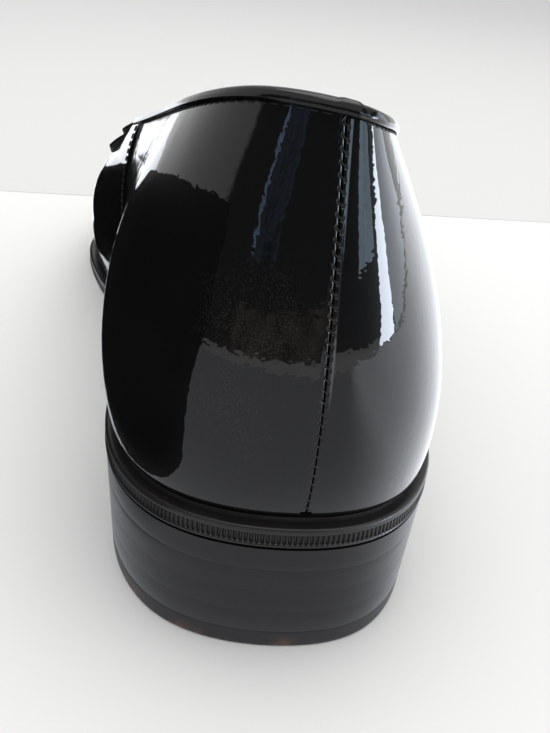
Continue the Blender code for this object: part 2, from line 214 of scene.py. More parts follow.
def wallNormals(places, levels):
    places, levels = np.asarray(places, float), np.asarray(levels, float)
    around = wallPoints(places + 0.02, levels) - wallPoints(places - 0.02, levels)
    up = wallPoints(places, np.minimum(levels + 0.01, 1.0)) - wallPoints(places, np.maximum(levels - 0.01, 0.0))
    normals = np.cross(around, up)
    return normals / np.linalg.norm(normals, axis=2)[:, :, None]


def soleOutline(places, outset):
    rib = ribAt(places)
    return rib[:, :2] + footNormals(places) * np.asarray(outset).reshape(-1, 1)


# places round the last, evenly counted in ribs
def placesRound(count):
    return np.arange(count) * ribCount / count


# where the solids' frame puts the shoe
evenPlaces = placesRound(shoe["outlineSteps"])
evenMargins = edgeMargin(ribAt(evenPlaces)[:, 1])
outline = soleOutline(evenPlaces, evenMargins)
soleLow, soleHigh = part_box("outsole")
solidMiddle = np.array((soleLow + soleHigh)[:2]) / 2 / mm
shift = np.append(solidMiddle - (outline.min(axis=0) + outline.max(axis=0)) / 2, 0.0)
print("shoe frame shift in mm", shift.round(2))

# ---- mesh helpers


# one more ring grown from the last one by extruding its edges, with its vertices set to points
def growRing(bm, ring, points, materialIndex=0):
    edges = [bm.edges.get((ring[i - 1], ring[i])) for i in range(len(ring))]
    made = bmesh.ops.extrude_edge_only(bm, edges=edges)["geom"]
    fresh = {item for item in made if isinstance(item, bmesh.types.BMVert)}
    for item in made:
        if isinstance(item, bmesh.types.BMFace):
            item.material_index = materialIndex
    grown = []
    for v, p in zip(ring, points):
        after = next(e.other_vert(v) for e in v.link_edges if e.other_vert(v) in fresh)
        after.co = Vector(p)
        grown.append(after)
    return grown


# a skin through rings of points; the first ring may be given again at the end to close a tube
def loftRings(rings, materialIndices=None):
    bm = bmesh.new()
    ring = bmesh.ops.create_circle(bm, segments=len(rings[0]), radius=1.0)["verts"]
    for v, p in zip(ring, rings[0]):
        v.co = Vector(p)
    for i, points in enumerate(rings[1:]):
        ring = growRing(bm, ring, points, materialIndices[i] if materialIndices else 0)
    return bm


def tidyMesh(bm, merge=1e-4):
    bmesh.ops.remove_doubles(bm, verts=bm.verts, dist=merge)
    bmesh.ops.dissolve_degenerate(bm, edges=bm.edges, dist=merge)
    bmesh.ops.recalc_face_normals(bm, faces=bm.faces)
    return bm


# rings that shrink from an outer one to the sole's middle line, on a surface over y
def faceRings(outer, shares, spineEnd, surface):
    spine = np.column_stack([np.zeros(len(outer)), np.clip(outer[:, 1], shoe["spineStart"], spineEnd)])
    made = []
    for share in shares:
        flat = outer[:, :2] * (1 - share) + spine * share
        made.append(np.column_stack([flat, surface(flat[:, 1])]))
    return made


def addObject(name, bm):
    mesh = bpy.data.meshes.new(name)
    bm.to_mesh(mesh)
    bm.free()
    piece = bpy.data.objects.new(name, mesh)
    scene.collection.objects.link(piece)
    return piece


# millimetres in the shoe's frame become metres in the row's frame
def finishPiece(name, bm, materials, replaced=(), sharpAngle=None):
    for v in bm.verts:
        v.co = (v.co + Vector(shift)) * mm
    piece = addObject(name, bm)
    piece.data.shade_smooth()
    if sharpAngle:
        piece.data.set_sharp_from_angle(angle=math.radians(sharpAngle))
    for material in materials:
        piece.data.materials.append(material)
    if replaced:
        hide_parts(*replaced)
    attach(piece, "root")
    return piece


# ---- materials: each noise scale is one over the size of its waves in metres


# black leather under a poured film: a near mirror with a faint skin ripple, and a little dust
def patentLeather():
    material, tree, shader = newMaterial("patentLeather", {
        "Roughness": 0.4, "Specular IOR Level": 0.06, "Coat Weight": 1.0, "Coat Roughness": 0.02, "Coat IOR": 1.5})
    coords = addNode(tree, "TexCoord").outputs["Object"]
    # ripple of 13 mm, and the film's own peel of 1.4 mm
    ripple = addNode(tree, "TexNoise", {"Scale": 75.0, "Detail": 1.5, "Roughness": 0.4}, {"Vector": coords})
    peel = addNode(tree, "TexNoise", {"Scale": 700.0, "Detail": 1.0, "Roughness": 0.5}, {"Vector": coords})
    skin = addNode(tree, "Bump", {"Strength": 1.0, "Distance": 0.00016}, {"Height": ripple.outputs["Fac"]})
    fine = addNode(tree, "Bump", {"Strength": 1.0, "Distance": 0.00002},
                   {"Height": peel.outputs["Fac"], "Normal": skin.outputs["Normal"]})
    # dust of 0.3 mm, in patches, thick only round one place on the back
    specks = addNode(tree, "TexVoronoi", {"Scale": 2900.0}, {"Vector": coords})
    patches = addNode(tree, "TexNoise", {"Scale": 60.0, "Detail": 4.0, "Roughness": 0.7}, {"Vector": coords})
    speckMask = addNode(tree, "MapRange", {"From Min": 0.36, "From Max": 0.16},
                        {"Value": specks.outputs["Distance"]})
    patchMask = addNode(tree, "MapRange", {"From Min": 0.40, "From Max": 0.70}, {"Value": patches.outputs["Fac"]})
    fromMiddle = addNode(tree, "VectorMath", {"operation": "DISTANCE", 1: (-0.013, -0.138, 0.058)}, {0: coords})
    nearMiddle = addNode(tree, "MapRange", {"From Min": 0.022, "From Max": 0.004, "To Min": 0.06, "To Max": 1.0},
                         {"Value": fromMiddle.outputs["Value"]})
    thick = addNode(tree, "Math", {"operation": "MULTIPLY"},
                    {0: patchMask.outputs["Result"], 1: nearMiddle.outputs["Result"]})
    dust = addNode(tree, "Math", {"operation": "MULTIPLY"}, {0: speckMask.outputs["Result"], 1: thick.outputs[0]})
    colour = addNode(tree, "Mix", {"data_type": "RGBA", 6: linear("#060606"), 7: linear("#383632")},
                     {0: dust.outputs[0]})
    plug(tree, shader, {"Base Color": colour.outputs[2], "Normal": fine.outputs["Normal"],
                        "Coat Normal": fine.outputs["Normal"]})
    return material


# the same patent cut thin and rolled: a softer gloss, wrinkled across by the rolling
def rolledPatent():
    material, tree, shader = newMaterial("rolledPatent", {
        "Base Color": linear("#090909"), "Roughness": 0.12, "IOR": 1.5})
    coords = addNode(tree, "TexCoord").outputs["Object"]
    wrinkle = addNode(tree, "TexNoise", {"Scale": 420.0, "Detail": 3.0, "Roughness": 0.6}, {"Vector": coords})
    bump = addNode(tree, "Bump", {"Strength": 1.0, "Distance": 0.00009}, {"Height": wrinkle.outputs["Fac"]})
    plug(tree, shader, {"Normal": bump.outputs["Normal"]})
    return material


# glazed calf on the inside: dull, with a pore grain of 0.8 mm
def liningLeather():
    material, tree, shader = newMaterial("liningLeather", {"Roughness": 0.55})
    coords = addNode(tree, "TexCoord").outputs["Object"]
    grain = addNode(tree, "TexVoronoi", {"Scale": 1300.0}, {"Vector": coords})
    tone = addNode(tree, "TexNoise", {"Scale": 60.0, "Detail": 4.0}, {"Vector": coords})
    colour = addNode(tree, "Mix", {"data_type": "RGBA", 6: linear("#1b1a1a"), 7: linear("#2b2928")},
                     {0: tone.outputs["Fac"]})
    bump = addNode(tree, "Bump", {"Strength": 0.6, "Distance": 0.00008}, {"Height": grain.outputs["Distance"]})
    plug(tree, shader, {"Base Color": colour.outputs[2], "Normal": bump.outputs["Normal"]})
    return material


# waxed polyester thread: round, a little lighter than the leather and half dull
def waxedThread():
    return newMaterial("waxedThread", {"Base Color": linear("#1a1918"), "Roughness": 0.55})[0]


# an ironed leather edge: dark, with faint long streaks where the iron ran, and rougher where they are pale
def ironedEdge(name, streak, flatten, colours, roughness, bumpSettings):
    material, tree, shader = newMaterial(name, {})
    coords = addNode(tree, "TexCoord").outputs["Object"]
    flat = addNode(tree, "Mapping", {"Scale": (1.0, 1.0, flatten)}, {"Vector": coords})
    streaks = addNode(tree, "TexNoise", streak, {"Vector": flat.outputs["Vector"]})
    colour = addNode(tree, "Mix", {"data_type": "RGBA", 6: linear(colours[0]), 7: linear(colours[1])},
                     {0: streaks.outputs["Fac"]})
    rough = addNode(tree, "MapRange",
                    {"From Min": 0.3, "From Max": 0.7, "To Min": roughness[0], "To Max": roughness[1]},
                    {"Value": streaks.outputs["Fac"]})
    bump = addNode(tree, "Bump", bumpSettings, {"Height": streaks.outputs["Fac"]})
    plug(tree, shader, {"Base Color": colour.outputs[2], "Roughness": rough.outputs["Result"],
                        "Normal": bump.outputs["Normal"]})
    return material


# the dressed sole's tread face: matt black with grey scuffs of 5 mm where it has touched the ground
def sootedSole():
    material, tree, shader = newMaterial("sootedSole", {"Roughness": 0.6})
    coords = addNode(tree, "TexCoord").outputs["Object"]
    long = addNode(tree, "Mapping", {"Scale": (2.5, 0.6, 1.0)}, {"Vector": coords})
    scuffs = addNode(tree, "TexNoise", {"Scale": 190.0, "Detail": 6.0, "Roughness": 0.75},
                     {"Vector": long.outputs["Vector"]})
    mask = addNode(tree, "MapRange", {"From Min": 0.5, "From Max": 0.72}, {"Value": scuffs.outputs["Fac"]})
    colour = addNode(tree, "Mix", {"data_type": "RGBA", 6: linear("#1c1a19"), 7: linear("#55504b")},
                     {0: mask.outputs["Result"]})
    bump = addNode(tree, "Bump", {"Strength": 0.6, "Distance": 0.0001}, {"Height": scuffs.outputs["Fac"]})
    plug(tree, shader, {"Base Color": colour.outputs[2], "Normal": bump.outputs["Normal"]})
    return material


# vulcanised rubber top piece: greyer and duller than the lifts, chafed brown in its lowest 3 mm
def heelRubber():
    material, tree, shader = newMaterial("heelRubber", {"Roughness": 0.5})
    coords = addNode(tree, "TexCoord").outputs["Object"]
    height = addNode(tree, "SeparateXYZ", {}, {"Vector": coords})
    chafe = addNode(tree, "TexNoise", {"Scale": 130.0, "Detail": 5.0, "Roughness": 0.7}, {"Vector": coords})
    low = addNode(tree, "MapRange", {"From Min": 0.0032, "From Max": 0.0, "To Min": 0.0, "To Max": 1.0},
                  {"Value": height.outputs["Z"]})
    spots = addNode(tree, "MapRange", {"From Min": 0.5, "From Max": 0.68}, {"Value": chafe.outputs["Fac"]})
    wear = addNode(tree, "Math", {"operation": "MULTIPLY"}, {0: low.outputs["Result"], 1: spots.outputs["Result"]})
    colour = addNode(tree, "Mix", {"data_type": "RGBA", 6: linear("#1a191b"), 7: linear("#6a4636")},
                     {0: wear.outputs[0]})
    bump = addNode(tree, "Bump", {"Strength": 0.5, "Distance": 0.00008}, {"Height": chafe.outputs["Fac"]})
    plug(tree, shader, {"Base Color": colour.outputs[2], "Normal": bump.outputs["Normal"]})
    return material


# silk grosgrain: ribs run across the ribbon 0.9 mm apart, drawn coarse so that they show, over a finer warp; its
# colour carries painted shade, darker down in the grooves and lighter on the rib tops
def grosgrainSilk():
    material, tree, shader = newMaterial("grosgrainSilk", {
        "Roughness": 0.6, "Sheen Weight": 0.25, "Sheen Roughness": 0.4})
    ribbon = addNode(tree, "UVMap", {"uv_map": "ribbon"})
    split = addNode(tree, "SeparateXYZ", {}, {"Vector": ribbon.outputs["UV"]})
    turns = addNode(tree, "Math", {"operation": "MULTIPLY", 1: 2 * math.pi / 0.9}, {0: split.outputs["X"]})
    rib = addNode(tree, "Math", {"operation": "SINE"}, {0: turns.outputs[0]})
    warp = addNode(tree, "Math", {"operation": "MULTIPLY", 1: 2 * math.pi / 0.35}, {0: split.outputs["Y"]})
    thread = addNode(tree, "Math", {"operation": "SINE"}, {0: warp.outputs[0]})
    fine = addNode(tree, "Math", {"operation": "MULTIPLY", 1: 0.2}, {0: thread.outputs[0]})
    weave = addNode(tree, "Math", {"operation": "ADD"}, {0: rib.outputs[0], 1: fine.outputs[0]})
    bump = addNode(tree, "Bump", {"Strength": 1.0, "Distance": 0.00012}, {"Height": weave.outputs[0]})
    # painted shade: the weave's height darkens the grooves and lightens the tops of the ribs
    paintedGrooveShade = addNode(tree, "MapRange", {"From Min": -1.2, "From Max": 1.2}, {"Value": weave.outputs[0]})
    colour = addNode(tree, "Mix", {"data_type": "RGBA", 6: linear("#0b0b0d"), 7: linear("#1d1d20")},
                     {0: paintedGrooveShade.outputs["Result"]})
    plug(tree, shader, {"Base Color": colour.outputs[2], "Normal": bump.outputs["Normal"]})
    return material


patent = patentLeather()
rolled = rolledPatent()
lining = liningLeather()
thread = waxedThread()
# sole leather with a burnished wax edge, streaks of 6 mm; and leather lifts inked and ironed, streaks of 10 mm
soleEdge = ironedEdge("waxedSoleEdge", {"Scale": 160.0, "Detail": 5.0, "Roughness": 0.65}, 5.0,
                      ("#141313", "#262423"), (0.26, 0.42), {"Strength": 0.5, "Distance": 0.00006})
liftLeather = ironedEdge("ironedLifts", {"Scale": 95.0, "Detail": 5.0, "Roughness": 0.6}, 9.0,
                         ("#0e0e0e", "#171615"), (0.27, 0.36), {"Strength": 0.35, "Distance": 0.00003})
soleTread = sootedSole()
rubber = heelRubber()
silk = grosgrainSilk()
print("materials made")

# ---- upper

upper = {
    "columns": 360,
    "levels": 74,
    "footLevels": 9,  # closer rings over the lowest part of the wall
    "footPart": 0.06,
    "liningLevels": 24,
    "seamOutside": 4.5,  # places of the two side seams, in ribs
    "seamInside": 13.7,
    "seamStep": 0.7,
    "seamRamp": 0.03,
    "stepFade": 0.97,  # the seams' steps sink under the binding from this level up
    "footTuck": 0.9,  # how far the lowest part turns in over the feather
    "tuckHeight": 1.7,
    "rippleDepth": 0.05,
    "rippleSize": 13.0,
    "calmFrom": (1.0, 5.0),  # mm from the back seam where the ripple starts and is full
    "troughDepth": 0.6,  # the back seam's own piece lies in a trough
    "troughSide": (0.7, 0.95),
    "troughTop": 0.985,
    "troughColumns": (0.015, 0.03, 0.037, 0.043, 0.05, 0.058, 0.067, 0.078, 0.09, 0.11, 0.14),
}
# soft troughs across the vamp where it bends, each with a lower ridge ahead of it
creases = {
    "lines": ((196.0, 0.22, 3.0, 6.0), (205.0, 0.32, 3.4, 9.0), (214.0, 0.18, 2.6, 7.0)),  # y, depth, half, bow
    "bowWidth": 40.0,
    "ridgeShare": 0.6,
    "ridgeAhead": 1.9,
    "reach": 30.0,
    "heights": (18.0, 30.0),
}


def seamLift(places):
    outside = ease(places, upper["seamOutside"], upper["seamOutside"] + upper["seamRamp"])
    inside = ease(places, upper["seamInside"] - upper["seamRamp"], upper["seamInside"])
    return upper["seamStep"] * outside * (1.0 - inside)


def creaseDepth(points):
    x, y, z = points[..., 0], points[..., 1], points[..., 2]
    depth = np.zeros(x.shape)
    for middle, deep, half, bend in creases["lines"]:
        past = (y - middle - bend * (x / creases["bowWidth"]) ** 2) / half
        wave = np.exp(-(past**2)) - creases["ridgeShare"] * np.exp(-((past - creases["ridgeAhead"]) ** 2))
        depth += deep * wave * np.exp(-((x / creases["reach"]) ** 4)) * ease(z, *creases["heights"])
    return depth


def skinRipple(points):
    out = np.zeros(points.shape[:-1])
    for index in np.ndindex(out.shape):
        out[index] = noise.noise(Vector(points[index]) / upper["rippleSize"])
    return out * upper["rippleDepth"]


# columns evenly round the wall, and closer ones at the side seams and in the trough
columnPlaces = set(np.round(placesRound(upper["columns"]), 5))
for seam, side in ((upper["seamOutside"], 1), (upper["seamInside"], -1)):
    columnPlaces |= {round(seam + side * upper["seamRamp"] * k / 6, 5) for k in range(-1, 8)}
columnPlaces |= {round((side * k) % ribCount, 5) for side in (1, -1) for k in upper["troughColumns"]}
columnPlaces = np.array(sorted(columnPlaces))
levels = np.concatenate([np.linspace(0, upper["footPart"], upper["footLevels"])[:-1],
                         np.linspace(upper["footPart"], 1, upper["levels"])])
wall = wallPoints(columnPlaces, levels)
wallOut = wallNormals(columnPlaces, levels)
height = wall[:, :, 2] - wall[:, :1, 2]
fromSeam = np.linalg.norm(wall - wallPoints([0.0], levels), axis=2)
trough = 1.0 - ease(fromSeam, *upper["troughSide"])
trough *= upper["troughDepth"] * ease(levels, 1.0, upper["troughTop"])[None, :]
tuck = upper["footTuck"] * (1.0 - np.minimum(height / upper["tuckHeight"], 1.0)) ** 2
step = seamLift(columnPlaces)[:, None] * ease(levels, 1.0, upper["stepFade"])[None, :]
ripple = skinRipple(wall) * ease(fromSeam, *upper["calmFrom"])
skin = wall + wallOut * (step + ripple - creaseDepth(wall) - tuck - trough)[:, :, None]
liningLevels = np.linspace(1, 0, upper["liningLevels"])
inner = wallPoints(columnPlaces, liningLevels) - wallNormals(columnPlaces, liningLevels) * shoe["wall"]
inner[:, -1, 2] = skin[:, 0, 2]

rings = [skin[:, i] for i in range(len(levels))] + [inner[:, i] for i in range(len(liningLevels))] + [skin[:, 0]]
slots = [0] * (len(levels) - 1) + [1] * (len(rings) - len(levels))
upperMesh = tidyMesh(loftRings(rings, slots))
upperTree = BVHTree.FromBMesh(upperMesh)
upperPiece = finishPiece("patentUpper", upperMesh, [patent, lining], ["upper"], 50)
print("upper made,", len(upperPiece.data.polygons), "faces")

# ---- rolled binding of the topline

binding = {
    "columns": 420,
    "depth": 1.15,
    "thick": 0.6,
    "crown": 1.3,
    "crownStart": 0.2,
    "crownSteps": 14,
    "lowRound": ((0.35, 0.0), (0.08, 0.12)),  # inset and height of its turned lower edge
    "bulge": 0.12,
    "bulgeStart": 0.2,
    "bulgeStep": 0.19,
    "bulgeSteps": 6,
    "lapPlace": 0.07,  # its two ends lap here, just outside the back seam
    "lapFrom": (-0.2, -0.12),
    "lapTo": (0.2, 0.1),
    "lapRise": 0.22,
}
bindPlaces = placesRound(binding["columns"])
topEdge = wallPoints(bindPlaces, [1.0])[:, 0]
edgeOut = wallNormals(bindPlaces, [1.0])[:, 0]
edgeUp = topEdge - wallPoints(bindPlaces, [0.97])[:, 0]
edgeUp /= np.linalg.norm(edgeUp, axis=1)[:, None]
# its section: up the outside, over the crown and down the inside, then up and down round the wall
outside = shoe["gap"] + binding["thick"]
inside = -shoe["wall"] - outside
middle, reach = (outside + inside) / 2, (outside - inside) / 2
low, start = -binding["depth"], binding["crownStart"]
outer = [(outside - inset, low + up) for inset, up in binding["lowRound"]]
for k in range(binding["bulgeSteps"]):
    bulge = binding["bulge"] * math.sin(math.pi * k / binding["bulgeSteps"])
    outer.append((outside + bulge, low + binding["bulgeStart"] + k * binding["bulgeStep"]))
for a in np.linspace(0.05, math.pi, binding["crownSteps"]):
    outer.append((middle + reach * math.cos(a), start + (binding["crown"] - start) * math.sin(a)))
outer += [(inside, -0.4), (inside + 0.1, low)]
wallInside = -shoe["wall"] - shoe["gap"]
hollow = [(wallInside, low), (wallInside, shoe["gap"]), (shoe["gap"], shoe["gap"]), (shoe["gap"], low)]
fromLap = (bindPlaces - binding["lapPlace"] + ribCount / 2) % ribCount - ribCount / 2
lap = binding["lapRise"] * ease(fromLap, *binding["lapFrom"]) * ease(fromLap, *binding["lapTo"])
rings = []
for part, swell in ((outer, lap), (hollow, 0 * lap)):
    for out, up in part:
        side = 1.0 if out > 0 else -1.0 if out < -shoe["wall"] else 0.0
        rings.append(topEdge + edgeOut * (out + side * swell)[:, None] + edgeUp * (up + swell * (up > 0))[:, None])
bindingMesh = tidyMesh(loftRings(rings + rings[:1]))
finishPiece("toplineBinding", bindingMesh, [rolled], ["topline_binding"], 60)
print("binding made")

# ---- back seam and stitches

backSeam = {
    "halfWidth": 1.3,  # mm each side of the joint
    "stand": 0.015,
    "edgeSink": 0.05,
    "ridgeAt": 0.55,
    "ridgeRise": 0.17,
    "ridgeHalf": 0.36,
    "grooveDepth": 0.4,
    "grooveHalf": 0.13,
    "pitch": 1.95,
    "reachSide": 0.6,
    "sideShift": 0.51,  # how far a leg's ends stand apart along the seam, halved
    "slant": (0.76, -0.65),  # each stitch lies in a dent, upper left to lower right, with a hole at each end
    "dentDepth": 0.14,
    "dentHalf": 0.17,
    "dentEnds": (0.55, 0.85),
    "holeDepth": 0.2,
    "holeHalf": (0.2, 0.18),
    "plainShare": 0.55,  # dents and holes in the plain joint, as a share
    "threadRadius": 0.12,
    "threadSunk": 0.10,
    "columns": 47,
    "levels": 420,
    "bottom": 0.035,
    "top": 0.985,
    "fade": (0.30, 0.52),  # levels between which the ridges grow out of a plain joint
    "backDepth": 0.9,
}


# a line up the wall at one place: its levels, its points and its length so far
def wallLine(place, low, high, count=600):
    t = np.linspace(low, high, count)
    points = wallPoints([place], t)[0]
    return t, points, runAlong(points)


seamT, _, seamRun = wallLine(0.0, backSeam["bottom"], backSeam["top"])
seamLength = seamRun[-1]


# points and normals at distances along the seam and across it, in mm
def onSeam(along, across):
    t = np.interp(along, seamRun, seamT)
    places = np.linspace(-0.6, 0.6, 121)
    strip = wallPoints(places, t)
    stripOut = wallNormals(places, t)
    points, normals = np.zeros((len(t), 3)), np.zeros((len(t), 3))
    for k in range(len(t)):
        steps = runAlong(strip[:, k])
        steps -= np.interp(0.0, places, steps)
        for axis in range(3):
            points[k, axis] = np.interp(across[k], steps, strip[:, k, axis])
            normals[k, axis] = np.interp(across[k], steps, stripOut[:, k, axis])
    return points, normals


def mound(distance, half):
    return np.exp(-((distance / half) ** 2))


stitchCount = int(seamLength / backSeam["pitch"])
stitchRun = (np.arange(stitchCount) + 0.5) * seamLength / stitchCount
rowRun = np.linspace(0, seamLength, backSeam["levels"])
strength = 0.04 + 0.96 * ease(np.interp(rowRun, seamRun, seamT), *backSeam["fade"])
pressed = backSeam["plainShare"] + (1 - backSeam["plainShare"]) * strength
slantX, slantY = backSeam["slant"]
columns = []
for a in np.linspace(-backSeam["halfWidth"], backSeam["halfWidth"], backSeam["columns"]):
    points, normals = onSeam(rowRun, np.full(len(rowRun), a))
    ridge = backSeam["ridgeRise"] * mound(abs(a) - backSeam["ridgeAt"], backSeam["ridgeHalf"])
    joint = backSeam["grooveDepth"] * mound(a, backSeam["grooveHalf"])
    past = rowRun[:, None] - stitchRun[None, :]
    nearest = np.take_along_axis(past, np.argmin(np.abs(past + a * 0.8), axis=1)[:, None], axis=1)[:, 0]
    along, aside = a * slantX + nearest * slantY, -a * slantY + nearest * slantX
    dent = backSeam["dentDepth"] * mound(aside, backSeam["dentHalf"])
    dent *= 1.0 - ease(np.abs(along), *backSeam["dentEnds"])
    hole = backSeam["holeDepth"] * mound(aside, backSeam["holeHalf"][0])
    hole *= mound(np.abs(along) - backSeam["reachSide"], backSeam["holeHalf"][1])
    sink = backSeam["edgeSink"] * (a / backSeam["halfWidth"]) ** 4
    rise = backSeam["stand"] - sink + strength * ridge - joint - (dent + hole) * pressed
    columns.append(points + normals * rise[:, None])
backEdge = backSeam["halfWidth"] - 0.05
for a in np.linspace(backEdge, -backEdge, 5):
    points, normals = onSeam(rowRun, np.full(len(rowRun), a))
    columns.append(points - normals * backSeam["backDepth"])
seamMesh = loftRings(np.stack(columns, axis=1))
bmesh.ops.holes_fill(seamMesh, edges=[e for e in seamMesh.edges if e.is_boundary], sides=0)
finishPiece("backSeam", tidyMesh(seamMesh, 1e-5), [patent], (), 60)


# one leg of thread as a stretched bead from one point to another
def addLeg(bm, start, end, radius):
    start, end = Vector(start), Vector(end)
    along = (end - start).normalized()
    side = along.orthogonal().normalized()
    turn = Matrix((side, along.cross(side), along)).transposed().to_4x4()
    size = Matrix.Diagonal((radius, radius, (end - start).length / 2 + radius * 0.5, 1.0))
    bmesh.ops.create_uvsphere(bm, u_segments=7, v_segments=6, radius=1.0,
                              matrix=Matrix.Translation((start + end) / 2) @ turn @ size)


zigzag = bmesh.new()
reachSides = np.full(stitchCount, backSeam["reachSide"])
leftEnds, leftOut = onSeam(stitchRun + backSeam["sideShift"], -reachSides)
rightEnds, rightOut = onSeam(stitchRun - backSeam["sideShift"], reachSides)
for k in range(stitchCount):
    t = np.interp(stitchRun[k], seamRun, seamT)
    sunk = backSeam["threadSunk"] * (1.0 - float(ease(t, *backSeam["fade"])))
    addLeg(zigzag, leftEnds[k] - leftOut[k] * sunk, rightEnds[k] - rightOut[k] * sunk, backSeam["threadRadius"])
finishPiece("backSeamThread", zigzag, [thread])
print("back seam made,", stitchCount, "zigzags over", round(seamLength, 1), "mm")

rowStitches = {
    "pitch": 2.1,
    "length": 1.45,
    "radius": 0.15,
    "bindingDrop": 1.4,  # mm below the topline
    "bindingRaise": 0.05,
    "bindingEnds": (0.3, 0.16),  # ribs from the back seam, outside and inside
    "sideRows": (1.4, 3.6),  # mm ahead of each side seam's edge
    "sideRaise": 0.04,
    "sideLevels": (0.10, 0.965),
}


def addRow(bm, points, normals, raised):
    run = runAlong(points)
    count = int(run[-1] / rowStitches["pitch"])
    lifted = points + normals * raised
    for k in range(count):
        ends = []
        for side in (-0.5, 0.5):
            at = (k + 0.5) * run[-1] / count + side * rowStitches["length"]
            ends.append([np.interp(at, run, lifted[:, axis]) for axis in range(3)])
        addLeg(bm, ends[0], ends[1], rowStitches["radius"])


# the wall's point and normal, with what the side seam's step adds
def onWall(place, level, stepUp):
    out = wallNormals([place], [level])[0, 0]
    return wallPoints([place], [level])[0, 0] + out * stepUp * float(ease(level, 1.0, upper["stepFade"])), out


stitches = bmesh.new()
line, lineOut = [], []
for place in np.linspace(rowStitches["bindingEnds"][0], ribCount - rowStitches["bindingEnds"][1], 700):
    t, points, run = wallLine(place, 0.8, 1.0, 40)
    level = np.interp(run[-1] - rowStitches["bindingDrop"], run, t)
    point, out = onWall(place, level, float(seamLift(np.array([place]))[0]))
    line.append(point)
    lineOut.append(out)
addRow(stitches, np.array(line), np.array(lineOut), rowStitches["bindingRaise"])
levelsUp = np.linspace(*rowStitches["sideLevels"], 120)
ahead = np.linspace(0, 0.6, 61)
for seam, side in ((upper["seamOutside"] + upper["seamRamp"], 1), (upper["seamInside"] - upper["seamRamp"], -1)):
    near = wallPoints(seam + side * ahead, levelsUp)
    for distance in rowStitches["sideRows"]:
        line, lineOut = [], []
        for k, level in enumerate(levelsUp):
            place = seam + side * np.interp(distance, runAlong(near[:, k]), ahead)
            point, out = onWall(place, level, upper["seamStep"])
            line.append(point)
            lineOut.append(out)
        addRow(stitches, np.array(line), np.array(lineOut), rowStitches["sideRaise"])
finishPiece("rowStitches", stitches, [thread])
print("stitches made")

# ---- leather sole

sole = {
    "columns": 2736,
    "wheelPitch": 4,  # columns to a mark, about 1 mm
    "wheelDepth": 0.36,
    # inset and height up the side; the last number says whether the wheel has marked it
    "side": ((0.9, 0.0, 0), (0.45, 0.06, 0), (0.12, 0.32, 0), (0.02, 0.62, 0), (0.12, 0.82, 0),
             (0.26, 0.95, 1), (0.28, 1.9, 1), (0.26, 2.85, 1),
             (0.08, 3.0, 0), (0.0, 3.3, 0), (0.03, 3.85, 0), (0.16, 4.12, 0), (0.45, 4.28, 0), (0.9, 4.3, 0)),
    "seatInset": 0.9,
    "spineEnd": 252.0,
    "bottomShares": (1.0, 0.8, 0.6, 0.4, 0.2, 0.08),
    "topShares": (0.3, 0.65, 1.0),
}
# evenly spaced by length, so that the marks keep their pitch
run = runAlong(np.vstack([outline, outline[:1]]))
soleSteps = np.arange(sole["columns"])
solePlaces = np.interp(soleSteps * run[-1] / sole["columns"], run, np.append(evenPlaces, ribCount))
soleMargins = edgeMargin(ribAt(solePlaces)[:, 1])
marks = np.where(soleSteps % sole["wheelPitch"] < sole["wheelPitch"] / 2, 0.0, sole["wheelDepth"])


def soleRing(inset, rise, marked=0):
    edge = soleOutline(solePlaces, soleMargins - inset - marked * marks)
    return np.column_stack([edge, soleBottom(edge[:, 1]) + rise])


sideRings = [soleRing(*line) for line in sole["side"]]
bottomRings = faceRings(sideRings[0], sole["bottomShares"], sole["spineEnd"], soleBottom)
seatOuter = soleOutline(solePlaces, np.full(len(solePlaces), -sole["seatInset"]))
seatRing = np.column_stack([seatOuter, soleBottom(seatOuter[:, 1]) + shoe["soleThick"] + 0.02])
seatRise = np.column_stack([seatOuter, seatTop(seatOuter[:, 1])])
topRings = faceRings(seatRise, sole["topShares"], sole["spineEnd"], seatTop)
rings = bottomRings + sideRings + [seatRing, seatRise] + topRings
slots = [1] * len(bottomRings) + [0] * (len(rings) - len(bottomRings) - 1)
finishPiece("leatherSole", tidyMesh(loftRings(rings, slots)), [soleEdge, soleTread], ["outsole"], 40)
print("sole made, edge", round(run[-1]), "mm round")

# ---- heel: stacked lifts and a rubber top piece

heel = {
    "columns": 420,
    "breast": 60,  # of the columns, across the front
    "taper": 1.8,
    "undercut": 0.2,
    "topPiece": 3.8,
    "lifts": 4,
    "hollow": 4.0,  # how far the breast is cut back in its middle
    "lineHalf": 0.08,
    "lineDepth": 0.012,
    "topLineDepth": 0.036,
    "liftRound": (0.05, 0.14),  # rounded edges, below and above
    "rubberRound": (0.6, 0.05),
    "endShares": (0.6, 1.0),
}


def heelRing(z, inset, followSole=False):
    rim = soleOutline(evenPlaces, evenMargins - inset)
    rim = np.roll(rim, len(rim) // 2, axis=0)
    side = rim[rim[:, 1] <= shoe["heelLength"]]
    run = runAlong(side)
    at = np.linspace(0, run[-1], heel["columns"] - heel["breast"])
    back = np.column_stack([np.interp(at, run, side[:, 0]), np.interp(at, run, side[:, 1])])
    t = np.linspace(0, 1, heel["breast"] + 2)[1:-1]
    breast = back[-1] + (back[0] - back[-1]) * t[:, None]
    breast[:, 1] -= heel["hollow"] * 4 * t * (1 - t)
    flat = np.vstack([back, breast])
    rise = np.full(len(flat), z)
    if followSole:
        rise = np.minimum(rise, soleBottom(flat[:, 1]) - shoe["gap"])
    return np.column_stack([flat, rise])


# how far a rounded edge has drawn in, at a depth past where the rounding starts
def roundIn(past, radius):
    return radius * (1 - math.sqrt(max(1 - (past / radius) ** 2, 0))) if past > 0 else 0.0


